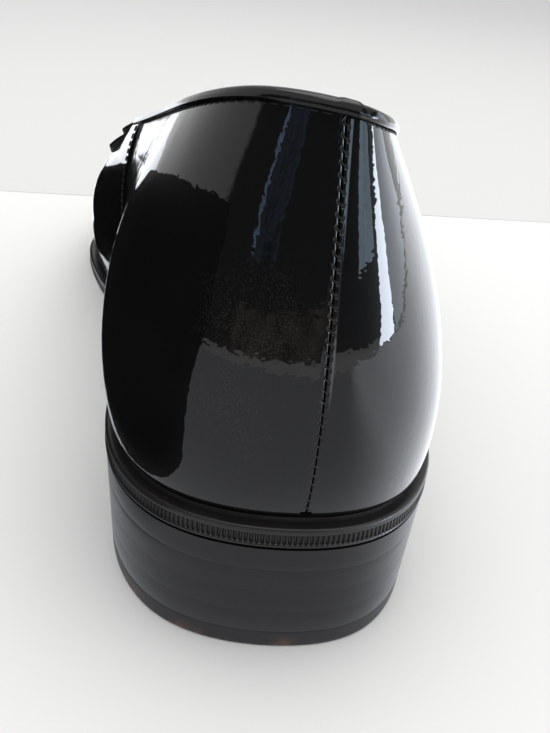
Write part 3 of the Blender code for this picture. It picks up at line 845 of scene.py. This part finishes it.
def heelStack(low, high, lines, rounds, followSole):
    roundLow, roundHigh = rounds
    heights = [low, low + roundLow * 0.15, low + roundLow * 0.45, low + roundLow]
    for line in lines:
        heights += [line + heel["lineHalf"] * k for k in (-2, -1, -0.4, 0, 0.4, 1, 2)]
    steps = np.linspace(low + roundLow, high - roundHigh, 7)[1:-1]
    heights += [s for s in steps if all(abs(s - line) > 3 * heel["lineHalf"] for line in lines)]
    heights += [high - roundHigh, high - roundHigh * 0.4, high]
    rings = []
    for z in sorted(heights):
        inset = heel["taper"] * (1 - z / shoe["heelHeight"]) + heel["undercut"]
        for line in lines:
            depth = heel["topLineDepth"] if line == lines[-1] else heel["lineDepth"]
            inset += depth * mound(z - line, heel["lineHalf"])
        inset += roundIn(low + roundLow - z, roundLow) + roundIn(z - high + roundHigh, roundHigh)
        rings.append(heelRing(z, inset, followSole))
    # two more rings close each end, the second of them in the middle
    centre = np.array([0.0, shoe["heelMiddle"]])
    for share in heel["endShares"]:
        ends = [rings[0].copy(), rings[-1].copy()]
        for ring in ends:
            ring[:, :2] += (centre - ring[:, :2]) * share
        ends[1][:, 2] = np.minimum(ends[1][:, 2], soleBottom(ends[1][:, 1]) - shoe["gap"])
        rings = [ends[0]] + rings + [ends[1]]
    return tidyMesh(loftRings(rings))


liftThick = (shoe["heelHeight"] - heel["topPiece"]) / heel["lifts"]
joints = [heel["topPiece"] + liftThick * k for k in range(1, heel["lifts"])]
stack = heelStack(heel["topPiece"] + 0.03, shoe["heelHeight"] - 0.02, joints, heel["liftRound"], True)
finishPiece("stackedHeel", stack, [liftLeather],
            ["heel_lift_1", "heel_lift_2", "heel_lift_3", "heel_lift_4"], 40)
topPiece = heelStack(0.0, heel["topPiece"], [], heel["rubberRound"], False)
finishPiece("heelTopPiece", topPiece, [rubber], ["top_piece"], 40)
print("heel made")

# ---- sock over the insole

sock = {
    "columns": 300,
    "clear": 0.6,
    "thick": 3.0,
    "roll": ((0.05, 0.5), (0.2, 0.12), (0.55, 0.0)),  # inset, and depth below the top, of its rounded edge
    "spineEnd": 250.0,
    "bottomShares": (1.0, 0.5),
    "topShares": (0.15, 0.35, 0.6, 0.85, 1.0),
}
sockPlaces = placesRound(sock["columns"])
footOut = wallNormals(sockPlaces, [0.0])[:, 0, :2]
seatGap = shoe["wall"] + shoe["gap"] + sock["clear"]


def sockRing(inset, rise):
    flat = ribAt(sockPlaces)[:, :2] - footOut * (seatGap + inset)
    return np.column_stack([flat, seatTop(flat[:, 1]) + shoe["gap"] + rise])


sides = [sockRing(0.0, 0.0)] + [sockRing(inset, sock["thick"] - below) for inset, below in sock["roll"]]
rings = faceRings(sides[0], sock["bottomShares"], sock["spineEnd"], lambda y: seatTop(y) + shoe["gap"])
rings += sides
rings += faceRings(sides[-1], sock["topShares"], sock["spineEnd"],
                   lambda y: seatTop(y) + shoe["gap"] + sock["thick"])
finishPiece("insoleSock", tidyMesh(loftRings(rings)), [lining], ["insole"], 40)
print("sock made")

# ---- flat ribbon bow

bow = {
    "centre": 176.0,
    "rear": 166.0,
    "width": 27.0,
    "gather": 0.22,
    "gatherEnds": (-2.0, 12.0),  # mm past the knot's edge
    "underReach": 40.0,
    "overReach": 34.5,
    "lift": 1.3,
    "pinch": 0.2,
    "underFull": 0.35,
    "overFull": 0.9,
    "foldOut": 0.9,
    "sag": 0.12,
    "sagSize": 7.0,
    "solidRibbon": 0.46,
    "ribbon": 0.42,
    "knotWidth": 15.0,
    "knotCrown": 0.8,
    "knotPleat": 0.28,
    "knotSteps": 24,
    "columns": 150,
    "rows": 19,
}


def vampHeight(x, y):
    hit = upperTree.ray_cast(Vector((x, y, 200.0)), Vector((0.0, 0.0, -1.0)))
    return None if hit[0] is None else hit[0].z


# walks over the vamp from its crown to one side in 1 mm steps
def vampLine(y, reach, side):
    line = [np.array([0.0, y, vampHeight(0.0, y)])]
    while len(line) <= reach + 2:
        here = line[-1]
        for trial in range(26):
            angle = -1.55 + trial * 0.06
            x, z = here[0] + side * math.cos(angle), here[2] + math.sin(angle)
            surface = vampHeight(x, y)
            if surface is not None and z >= surface:
                break
        line.append(np.array([x, y, z]))
    smooth = np.array(line)
    for _ in range(6):
        smooth[1:-1] = (smooth[:-2] + 2 * smooth[1:-1] + smooth[2:]) / 4
    return smooth


# the ribbon's width at s mm from the bow's middle, as a share: the knot gathers it
def ribbonShare(s):
    start, end = [bow["knotWidth"] / 2 + past for past in bow["gatherEnds"]]
    return 1.0 - bow["gather"] * (1.0 - float(ease(abs(s), start, end)))


vampSteps = np.linspace(bow["rear"], bow["centre"] + bow["width"] / 2 + 2.0, 12)
vampLines = {side: np.array([vampLine(y, bow["underReach"] + 2, side) for y in vampSteps]) for side in (-1, 1)}
vampClimb = (vampHeight(0.0, vampSteps[0]) - vampHeight(0.0, vampSteps[1])) / (vampSteps[1] - vampSteps[0])


# a point of the surface under the bow, s mm across it and at y
def bowBase(s, y):
    n = int(abs(s))
    lines = vampLines[1 if s >= 0 else -1]
    line = lines[:, n] * (1 + n - abs(s)) + lines[:, n + 1] * (abs(s) - n)
    return np.array([np.interp(y, vampSteps, line[:, 0]), y,
                     np.interp(y, vampSteps, line[:, 2]) + vampClimb * max(bow["rear"] - y, 0.0)])


def bowPoint(s, across, height, width):
    y = bow["centre"] + width * ribbonShare(s) * across
    along = bowBase(s + 0.5, y) - bowBase(s - 0.5, y)
    forward = bowBase(s, y + 0.5) - bowBase(s, y - 0.5)
    normal = np.cross(along, forward)
    return bowBase(s, y) + normal / np.linalg.norm(normal) * height


# the half turn of a fold round a place, outwards by out and up and down by rise
def foldTurn(place, middle, out, rise, first, count):
    return [(place + out * math.cos(a), middle + rise * math.sin(a))
            for a in np.linspace(first, first + math.pi, count)[1:-1]]


# how far a loop's two layers stand apart: pinched under the knot and full in between
def loopOpening(s, reach, fullness):
    pinched = bow["knotWidth"] / 2 + 1.0
    past = max(abs(s) - pinched, 0.0) / (reach - pinched)
    return bow["pinch"] + fullness * max(math.sin(math.pi * min(past, 1.0)), 0.0) ** 0.7


# an endless ribbon laid flat: out along the vamp, over the fold, back along the top, over the other fold
def ribbonLoop(reach, lift, fullness):
    base = lift + bow["solidRibbon"] / 2
    turn = (bow["solidRibbon"] + bow["pinch"]) / 2
    end = reach - turn
    places = np.linspace(-end, end, bow["columns"] // 2)
    path = [(s, base) for s in places]
    path += foldTurn(end, base + turn, turn * bow["foldOut"], turn, -math.pi / 2, 8)
    path += [(s, base + bow["solidRibbon"] + loopOpening(s, reach, fullness)) for s in places[::-1]]
    path += foldTurn(-end, base + turn, turn * bow["foldOut"], turn, math.pi / 2, 8)
    return path


def ribbonRings(path, seed):
    rings = []
    for across in np.arange(bow["rows"] + 1) / bow["rows"] - 0.5:
        ring = []
        for s, h in path:
            sag = bow["sag"] * noise.noise(Vector((s / bow["sagSize"], across * 3.0, seed)))
            ring.append(bowPoint(s, across, h + sag, bow["width"]))
        rings.append(ring)
    return rings


# a ribbon piece through rings that run its length, and that length
def ribbonPiece(name, rings, width, replaced, evenOffset):
    bm = loftRings(rings)
    bmesh.ops.recalc_face_normals(bm, faces=bm.faces)
    # ribbon map in millimetres: x along the ribbon, y across it
    layer = bm.loops.layers.uv.new("ribbon")
    middleRing = np.array(rings[len(rings) // 2])
    run = runAlong(np.vstack([middleRing, middleRing[:1]]))
    bm.verts.index_update()
    count = len(middleRing)
    for face in bm.faces:
        ids = [loop.vert.index % count for loop in face.loops]
        wraps = max(ids) - min(ids) > 1
        for loop, i in zip(face.loops, ids):
            along = run[-1] if wraps and i == 0 else run[i]
            loop[layer].uv = (along, (loop.vert.index // count) / (len(rings) - 1) * width)
    piece = finishPiece(name, bm, [silk], replaced)
    thickness = piece.modifiers.new("ribbonThickness", "SOLIDIFY")
    thickness.thickness = bow["ribbon"] * mm
    thickness.offset = 0.0
    thickness.use_even_offset = evenOffset
    return piece, run[-1]


overLift = bow["lift"] + 2 * bow["solidRibbon"] + bow["underFull"] + bow["pinch"] + shoe["gap"]
underRings = ribbonRings(ribbonLoop(bow["underReach"], bow["lift"], bow["underFull"]), 1.7)
underRibbon = ribbonPiece("bowUnderRibbon", underRings, bow["width"], ["bow_under_loops"], True)[0]
overRings = ribbonRings(ribbonLoop(bow["overReach"], overLift, bow["overFull"]), 5.3)
overRibbon = ribbonPiece("bowOverRibbon", overRings, bow["width"], ["bow_over_loops"], True)[0]

# the knot: a band wrapped round both ribbons, with two soft pleats along it
knotLow = bow["lift"] - shoe["gap"]
knotHigh = overLift + 2 * bow["solidRibbon"] + bow["pinch"] + shoe["gap"]
knotSpan = bow["width"] + 2 * shoe["gap"] + bow["solidRibbon"]
knotMiddle = (knotLow + knotHigh) / 2
half = bow["solidRibbon"] / 2
knotRise = (knotHigh - knotLow + 2 * half) / 2
knotCount = bow["knotSteps"] - 1
knotPath = [(k / knotCount - 0.5, knotLow - half, 0.0) for k in range(knotCount + 1)]
knotPath += [(*turn, 0.0) for turn in foldTurn(0.5, knotMiddle, 0.02, knotRise, -math.pi / 2, 12)]
knotPath += [(0.5 - k / knotCount, knotHigh + half, bow["knotCrown"] * math.sin(math.pi * k / knotCount))
             for k in range(knotCount + 1)]
knotPath += [(*turn, 0.0) for turn in foldTurn(-0.5, knotMiddle, 0.02, knotRise, math.pi / 2, 12)]
rings = []
for share in np.arange(bow["knotSteps"] + 1) / bow["knotSteps"] - 0.5:
    pleat = bow["knotPleat"] * math.cos(4 * math.pi * share)
    rings.append([bowPoint(bow["knotWidth"] * share, across, h + crown + (pleat if h > knotMiddle else 0.0), knotSpan)
                  for across, h, crown in knotPath])
knotPiece, knotLength = ribbonPiece("bowKnotBand", rings, bow["knotWidth"], ["bow_knot"], False)
print("bow made")

# ---- studio: floor, lights, and cards that only a gloss can see


def stagePiece(name, bm, material):
    piece = addObject(name, bm)
    piece.data.materials.append(material)
    piece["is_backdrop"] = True
    return piece


# a flat sheet by its middle and its half sizes, in metres
def flatSheet(name, middle, halfSizes, material):
    bm = bmesh.new()
    bmesh.ops.create_grid(bm, x_segments=1, y_segments=1, size=1.0)
    for v in bm.verts:
        v.co = Vector((middle[0] + v.co.x * halfSizes[0], middle[1] + v.co.y * halfSizes[1], middle[2]))
    return stagePiece(name, bm, material)


def mattStage(name, colour, roughness):
    return newMaterial(name, {"Base Color": linear(colour), "Roughness": roughness, "Specular IOR Level": 0.0})[0]


def glowStage(name, colour, power):
    material = bpy.data.materials.new(name)
    material.use_nodes = True
    tree = material.node_tree
    tree.nodes.remove(tree.nodes["Principled BSDF"])
    glow = addNode(tree, "Emission", {"Color": linear(colour), "Strength": power})
    plug(tree, tree.nodes["Material Output"], {"Surface": glow.outputs[0]})
    return material, tree, glow


# a card seen only in reflections
def glossOnly(card):
    card.visible_camera = False
    card.visible_diffuse = False
    card.visible_transmission = False
    card.visible_volume_scatter = False
    card.visible_shadow = False


flatSheet("studioFloor", (0.0, 0.0, 0.0), (4.0, 4.0), mattStage("whitePaper", "#dcdcdc", 0.9))
# a greyer sheet beyond the toe, whose edge is the line behind the shoe
flatSheet("greySheet", (0.0, 2.15, 0.0001), (4.0, 2.001), mattStage("greyPaper", "#cecece", 0.9))

cards = {
    # azimuths and the lean of their edges, elevations, in degrees; colour, power, distance in metres, raggedness
    "windowCard": ((57, 78, 12), (-4, 10), "#e8f2ff", 17.0, 1.6, 0.0),
    "windowGlow": ((33, 62, 0), (9, 30), "#c4dcf0", 3.0, 1.7, 0.3),
    "sideGlow": ((83, 130, 0), (-8, 22), "#dfe6f0", 2.6, 1.8, 0.0),
    "doorFrame": ((-46, -43.6, -6), (15, 27), "#a9c4ea", 1.9, 1.6, 0.8),
    "doorStrip": ((-43.5, -28, -6), (14, 27), "#9fb6dc", 0.45, 1.7, 0.9),
    "dimRoom": ((-46, 6, 0), (-6, 8), "#d8cdbd", 0.22, 1.9, 0.9),
}
cardCentre = Vector((0, -0.13, 0.07))  # what the cards' angles are seen from
for name, (azimuths, elevations, colour, power, distance, ragged) in cards.items():
    bm = bmesh.new()
    bmesh.ops.create_grid(bm, x_segments=12, y_segments=6, size=1.0)
    for v in bm.verts:
        u, w = (v.co.x + 1) / 2, (v.co.y + 1) / 2
        elevation = math.radians(elevations[0] + (elevations[1] - elevations[0]) * w)
        azimuth = math.radians(azimuths[0] + (azimuths[1] - azimuths[0]) * u + azimuths[2] * w)
        level = math.cos(elevation)
        aimed = Vector((math.sin(azimuth) * level, -math.cos(azimuth) * level, math.sin(elevation)))
        v.co = aimed * distance + cardCentre
    material, tree, glow = glowStage(name, colour, power)
    if ragged:
        coords = addNode(tree, "TexCoord").outputs["Object"]
        blotch = addNode(tree, "TexNoise", {"Scale": 3.2, "Detail": 4.0, "Roughness": 0.6}, {"Vector": coords})
        amount = addNode(tree, "MapRange", {"From Min": 0.35, "From Max": 0.65, "To Min": power * (1 - ragged),
                                            "To Max": power * (1 + ragged)}, {"Value": blotch.outputs["Fac"]})
        plug(tree, glow, {"Strength": amount.outputs["Result"]})
    glossOnly(stagePiece(name, bm, material))

# the floor is far brighter on the window's side
material, tree, glow = glowStage("floorPool", "#f2f5fb", 1.0)
coords = addNode(tree, "TexCoord").outputs["Object"]
split = addNode(tree, "SeparateXYZ", {}, {"Vector": coords})
slope = addNode(tree, "Math", {"operation": "MULTIPLY_ADD", 1: 0.45}, {0: split.outputs["Y"], 2: split.outputs["X"]})
amount = addNode(tree, "MapRange", {"interpolation_type": "SMOOTHSTEP", "From Min": -0.06, "From Max": 0.03,
                                    "To Min": 0.66, "To Max": 1.8}, {"Value": slope.outputs[0]})
plug(tree, glow, {"Strength": amount.outputs["Result"]})
glossOnly(flatSheet("floorPool", (0.0, -0.05, 0.0006), (1.2, 0.75), material))

# a black flag close by on the inside of the foot, standing on a narrow strip; y, z in mm and x, y in metres
flag = {
    "x": -0.060,
    "outline": ((-152, 1), (-157, 40), (-160, 66), (-153, 90), (-147, 96), (-114, 91), (-78, 85), (-20, 72),
                (19, 62), (40, 52), (62, 40), (110, 30), (160, 24), (200, 1)),
    "strip": ((-0.060, -0.152), (-0.052, -0.135), (-0.051, 0.10), (-0.060, 0.11)),
}
bm = bmesh.new()
bm.faces.new([bm.verts.new((flag["x"], y * mm, z * mm)) for y, z in flag["outline"]])
bm.faces.new([bm.verts.new((x, y, 0.001)) for x, y in flag["strip"]])
glossOnly(stagePiece("blackFlag", bm, mattStage("blackFelt", "#050505", 1.0)))

# a pale room to the eye and to the floor; a dark one, between these directions, for the gloss
room = {
    "left": (math.radians(-79), math.radians(-73)),
    "right": (math.radians(120), math.radians(100)),
    "above": (0.62, 0.45),
    "pale": (0.66, 0.66, 0.67, 1),
    "dark": (0.045, 0.047, 0.05, 1),
    "backdrop": (0.97, 0.97, 0.97, 1),
}
world = bpy.data.worlds.new("studio")
scene.world = world
world.use_nodes = True
tree = world.node_tree
split = addNode(tree, "SeparateXYZ", {}, {"Vector": addNode(tree, "TexCoord").outputs["Generated"]})
flip = addNode(tree, "Math", {"operation": "MULTIPLY", 1: -1.0}, {0: split.outputs["Y"]})
azimuth = addNode(tree, "Math", {"operation": "ARCTAN2"}, {0: split.outputs["X"], 1: flip.outputs[0]})
within = []
for side, value in (("left", azimuth.outputs[0]), ("right", azimuth.outputs[0]), ("above", split.outputs["Z"])):
    within.append(addNode(tree, "MapRange", {"interpolation_type": "SMOOTHSTEP", "From Min": room[side][0],
                                             "From Max": room[side][1]}, {"Value": value}).outputs["Result"])
sides = addNode(tree, "Math", {"operation": "MULTIPLY"}, {0: within[0], 1: within[1]})
inRoom = addNode(tree, "Math", {"operation": "MULTIPLY"}, {0: sides.outputs[0], 1: within[2]})
glossy = addNode(tree, "Mix", {"data_type": "RGBA", 6: room["pale"], 7: room["dark"]}, {0: inRoom.outputs[0]})
rays = addNode(tree, "LightPath")
seen = addNode(tree, "Mix", {"data_type": "RGBA", 6: room["backdrop"]},
               {0: rays.outputs["Is Glossy Ray"], 7: glossy.outputs[2]})
plug(tree, tree.nodes["Background"], {"Color": seen.outputs[2]})

softbox = {"place": (0.15, 0.05, 1.3), "aim": (0.0, 0.0, 0.0), "size": 1.3, "power": 10.6, "colour": "#fffefb"}
softboxData = bpy.data.lights.new("overheadSoftbox", "AREA")
softboxData.shape = "RECTANGLE"
softboxData.size = softboxData.size_y = softbox["size"]
softboxData.energy = softbox["power"]
softboxData.color = linear(softbox["colour"])[:3]
light = bpy.data.objects.new("overheadSoftbox", softboxData)
light.location = softbox["place"]
towards = Vector(softbox["aim"]) - Vector(softbox["place"])
light.rotation_euler = towards.to_track_quat("-Z", "Y").to_euler()
scene.collection.objects.link(light)
print("studio made")

# ---- camera: at the photograph's angle to the shoe

camera = {
    "place": (-28.9, -268.5, 121.9),  # mm in the row's frame
    "aim": (-0.96, -100.21, 38.24),
    "focal": 900.0,  # in pixels of a picture 733 high
    "roll": 6.0,
}
cameraData = bpy.data.cameras.new("camera")
cameraData.lens = camera["focal"] * 36.0 / 733.0
cameraData.clip_start = 0.01
cameraObject = bpy.data.objects.new("camera", cameraData)
scene.collection.objects.link(cameraObject)
place, aim = Vector(camera["place"]) * mm, Vector(camera["aim"]) * mm
cameraObject.location = place
look = (aim - place).to_track_quat("-Z", "Y")
cameraObject.rotation_euler = (look.to_matrix() @ Matrix.Rotation(math.radians(camera["roll"]), 3, "Z")).to_euler()
scene.camera = cameraObject

low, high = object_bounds()
